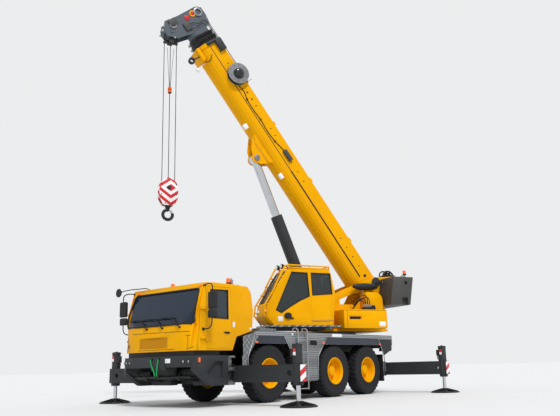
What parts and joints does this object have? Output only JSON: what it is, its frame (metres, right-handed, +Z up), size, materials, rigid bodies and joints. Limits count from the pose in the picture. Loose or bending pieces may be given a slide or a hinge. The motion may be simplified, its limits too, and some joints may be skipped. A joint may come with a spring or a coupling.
{
  "type": "all-terrain crane",
  "caption": "Three-axle all-terrain crane on its outriggers, boom raised and superstructure turned, with telescoping boom, lift cylinder, hook and opening cab doors.",
  "frame": {"origin": "bottom centre of the whole machine's box at rest, on the ground", "axes": "+X towards the carrier cab, +Y to the carrier's left, +Z up"},
  "size_m": [9.4565, 6.76, 11.7797],
  "materials": {
    "crane_yellow": "gloss paint",
    "dark_grey_paint": "satin paint",
    "light_grey_paint": "satin paint",
    "aluminium_tread": "treadplate",
    "black_paint": "satin paint",
    "tyre_rubber": "matte",
    "chromed_steel": "polished chrome",
    "steel": "satin",
    "tinted_glass": "gloss",
    "interior_plastic": "matte"
  },
  "bodies": {
    "carrier": {"chassis_frame": "dark_grey_paint", "deck": "aluminium_tread", "front_bumper": "dark_grey_paint", "carrier_cab_shell": "crane_yellow", "carrier_cab_windscreen": "tinted_glass", "carrier_cab_interior": "interior_plastic", "engine_block": "steel", "ladder": "aluminium_tread", "axle_1": "dark_grey_paint", "axle_2": "dark_grey_paint", "axle_3": "dark_grey_paint", "slew_ring": "steel"},
    "cab_door_left": {"carrier_cab_door_left": "crane_yellow"},
    "cab_door_right": {"carrier_cab_door_right": "crane_yellow"},
    "knuckle_1_left": {"knuckle_1_left": "steel"},
    "wheel_1_left": {"wheel_1_left": "tyre_rubber"},
    "knuckle_1_right": {"knuckle_1_right": "steel"},
    "wheel_1_right": {"wheel_1_right": "tyre_rubber"},
    "knuckle_2_left": {"knuckle_2_left": "steel"},
    "wheel_2_left": {"wheel_2_left": "tyre_rubber"},
    "knuckle_2_right": {"knuckle_2_right": "steel"},
    "wheel_2_right": {"wheel_2_right": "tyre_rubber"},
    "knuckle_3_left": {"knuckle_3_left": "steel"},
    "wheel_3_left": {"wheel_3_left": "tyre_rubber"},
    "knuckle_3_right": {"knuckle_3_right": "steel"},
    "wheel_3_right": {"wheel_3_right": "tyre_rubber"},
    "beam_front_left": {"outrigger_beam_front_left": "dark_grey_paint"},
    "leg_front_left": {"outrigger_leg_front_left": "steel"},
    "beam_front_right": {"outrigger_beam_front_right": "dark_grey_paint"},
    "leg_front_right": {"outrigger_leg_front_right": "steel"},
    "beam_rear_left": {"outrigger_beam_rear_left": "dark_grey_paint"},
    "leg_rear_left": {"outrigger_leg_rear_left": "steel"},
    "beam_rear_right": {"outrigger_beam_rear_right": "dark_grey_paint"},
    "leg_rear_right": {"outrigger_leg_rear_right": "steel"},
    "superstructure": {"turntable": "crane_yellow", "side_cabinet_left": "crane_yellow", "side_cabinet_right": "crane_yellow", "cab_walkway": "aluminium_tread", "counterweight": "light_grey_paint", "hoist_winch": "black_paint", "crane_cab_shell": "crane_yellow", "crane_cab_door": "crane_yellow", "crane_cab_seat": "interior_plastic"},
    "boom_base": {"boom_base_section": "crane_yellow", "cable_reel": "light_grey_paint"},
    "boom_2": {"boom_section_2": "dark_grey_paint"},
    "boom_3": {"boom_section_3": "dark_grey_paint"},
    "boom_head": {"boom_head_section": "dark_grey_paint"},
    "lift_rod": {"lift_cylinder_rod": "chromed_steel"},
    "lift_barrel": {"lift_cylinder_barrel": "dark_grey_paint"},
    "hoist_falls": {"hoist_rope": "steel"},
    "hook_block": {"hook_block": "light_grey_paint"},
    "hook": {"hook": "black_paint"}
  },
  "joints": [
    {"name": "steer_1_left", "type": "hinge", "parent": "carrier", "child": "knuckle_1_left", "pos_m": [2.185, 0.74, 0.685], "axis": [0, 0, 1], "range_deg": [-35, 35]},
    {"name": "roll_1_left", "type": "hinge", "parent": "knuckle_1_left", "child": "wheel_1_left", "pos_m": [2.185, 1.055, 0.685], "axis": [0, 1, 0], "continuous": true},
    {"name": "steer_1_right", "type": "hinge", "parent": "carrier", "child": "knuckle_1_right", "pos_m": [2.185, -0.74, 0.685], "axis": [0, 0, 1], "range_deg": [-35, 35]},
    {"name": "roll_1_right", "type": "hinge", "parent": "knuckle_1_right", "child": "wheel_1_right", "pos_m": [2.185, -1.055, 0.685], "axis": [0, 1, 0], "continuous": true},
    {"name": "steer_2_left", "type": "hinge", "parent": "carrier", "child": "knuckle_2_left", "pos_m": [-0.54, 0.74, 0.685], "axis": [0, 0, 1], "range_deg": [-17.5, 17.5]},
    {"name": "roll_2_left", "type": "hinge", "parent": "knuckle_2_left", "child": "wheel_2_left", "pos_m": [-0.54, 1.055, 0.685], "axis": [0, 1, 0], "continuous": true},
    {"name": "steer_2_right", "type": "hinge", "parent": "carrier", "child": "knuckle_2_right", "pos_m": [-0.54, -0.74, 0.685], "axis": [0, 0, 1], "range_deg": [-17.5, 17.5]},
    {"name": "roll_2_right", "type": "hinge", "parent": "knuckle_2_right", "child": "wheel_2_right", "pos_m": [-0.54, -1.055, 0.685], "axis": [0, 1, 0], "continuous": true},
    {"name": "steer_3_left", "type": "hinge", "parent": "carrier", "child": "knuckle_3_left", "pos_m": [-2.19, 0.74, 0.685], "axis": [0, 0, 1], "range_deg": [-20, 20]},
    {"name": "roll_3_left", "type": "hinge", "parent": "knuckle_3_left", "child": "wheel_3_left", "pos_m": [-2.19, 1.055, 0.685], "axis": [0, 1, 0], "continuous": true},
    {"name": "steer_3_right", "type": "hinge", "parent": "carrier", "child": "knuckle_3_right", "pos_m": [-2.19, -0.74, 0.685], "axis": [0, 0, 1], "range_deg": [-20, 20]},
    {"name": "roll_3_right", "type": "hinge", "parent": "knuckle_3_right", "child": "wheel_3_right", "pos_m": [-2.19, -1.055, 0.685], "axis": [0, 1, 0], "continuous": true},
    {"name": "cab_door_left_hinge", "type": "hinge", "parent": "carrier", "child": "cab_door_left", "pos_m": [4.353, 1.271, 1.7], "axis": [0, 0, -1], "range_deg": [0, 70]},
    {"name": "cab_door_right_hinge", "type": "hinge", "parent": "carrier", "child": "cab_door_right", "pos_m": [4.353, -1.271, 1.7], "axis": [0, 0, 1], "range_deg": [0, 70]},
    {"name": "outrigger_front_left_slide", "type": "slide", "parent": "carrier", "child": "beam_front_left", "axis": [0, 1, 0], "range_m": [-1.85, 0]},
    {"name": "jack_front_left_lift", "type": "slide", "parent": "beam_front_left", "child": "leg_front_left", "axis": [0, 0, 1], "range_m": [0, 0.31]},
    {"name": "outrigger_front_right_slide", "type": "slide", "parent": "carrier", "child": "beam_front_right", "axis": [0, -1, 0], "range_m": [-1.85, 0]},
    {"name": "jack_front_right_lift", "type": "slide", "parent": "beam_front_right", "child": "leg_front_right", "axis": [0, 0, 1], "range_m": [0, 0.31]},
    {"name": "outrigger_rear_left_slide", "type": "slide", "parent": "carrier", "child": "beam_rear_left", "axis": [0, 1, 0], "range_m": [-1.85, 0]},
    {"name": "jack_rear_left_lift", "type": "slide", "parent": "beam_rear_left", "child": "leg_rear_left", "axis": [0, 0, 1], "range_m": [0, 0.31]},
    {"name": "outrigger_rear_right_slide", "type": "slide", "parent": "carrier", "child": "beam_rear_right", "axis": [0, -1, 0], "range_m": [-1.85, 0]},
    {"name": "jack_rear_right_lift", "type": "slide", "parent": "beam_rear_right", "child": "leg_rear_right", "axis": [0, 0, 1], "range_m": [0, 0.31]},
    {"name": "slew", "type": "hinge", "parent": "carrier", "child": "superstructure", "pos_m": [-2.13, 0, 1.8], "axis": [0, 0, 1], "continuous": true},
    {"name": "luff", "type": "hinge", "parent": "superstructure", "child": "boom_base", "pos_m": [-3.39204, 0.60602, 3.33], "axis": [-0.4329, -0.9015, 0], "range_deg": [-54.6, 27.4]},
    {"name": "telescope", "type": "slide", "parent": "boom_base", "child": "boom_2", "axis": [0.5222, -0.2508, 0.8151], "range_m": [0, 8]},
    {"name": "telescope_3", "type": "slide", "parent": "boom_2", "child": "boom_3", "axis": [0.5222, -0.2508, 0.8151], "range_m": [0, 8]},
    {"name": "telescope_head", "type": "slide", "parent": "boom_3", "child": "boom_head", "axis": [0.5222, -0.2508, 0.8151], "range_m": [0, 8]},
    {"name": "lift_rod_pivot", "type": "hinge", "parent": "boom_base", "child": "lift_rod", "pos_m": [0.058, -1.05066, 7.07541], "axis": [-0.4329, -0.9015, 0], "range_deg": [-9.24, 4.88]},
    {"name": "lift_cylinder_stroke", "type": "slide", "parent": "lift_rod", "child": "lift_barrel", "axis": [-0.3298, 0.1584, -0.9307], "range_m": [-1.549, 0.787]},
    {"name": "rope_hang", "type": "hinge", "parent": "boom_head", "child": "hoist_falls", "pos_m": [2.50631, -2.22633, 10.77629], "axis": [-0.4329, -0.9015, 0], "range_deg": [-27.6, 54.8]},
    {"name": "hoist", "type": "slide", "parent": "hoist_falls", "child": "hook_block", "axis": [0, 0, -1], "range_m": [-4.2, 4.9], "deforming": ["hoist_rope"]},
    {"name": "hook_swivel", "type": "hinge", "parent": "hook_block", "child": "hook", "pos_m": [2.50631, -2.22633, 5.2], "axis": [0, 0, 1], "continuous": true}
  ],
  "couplings": [
    {"joint": "steer_1_right", "follows": "steer_1_left", "ratio": 1},
    {"joint": "steer_2_left", "follows": "steer_1_left", "ratio": 0.5},
    {"joint": "steer_2_right", "follows": "steer_1_left", "ratio": 0.5},
    {"joint": "steer_3_right", "follows": "steer_3_left", "ratio": 1},
    {"joint": "telescope_3", "follows": "telescope", "ratio": 1},
    {"joint": "telescope_head", "follows": "telescope", "ratio": 1},
    {"joint": "lift_rod_pivot", "follows": "luff", "ratio": 0.16},
    {"joint": "lift_cylinder_stroke", "follows": "luff", "m_per_rad": 1.604},
    {"joint": "rope_hang", "follows": "luff", "ratio": -1}
  ]
}
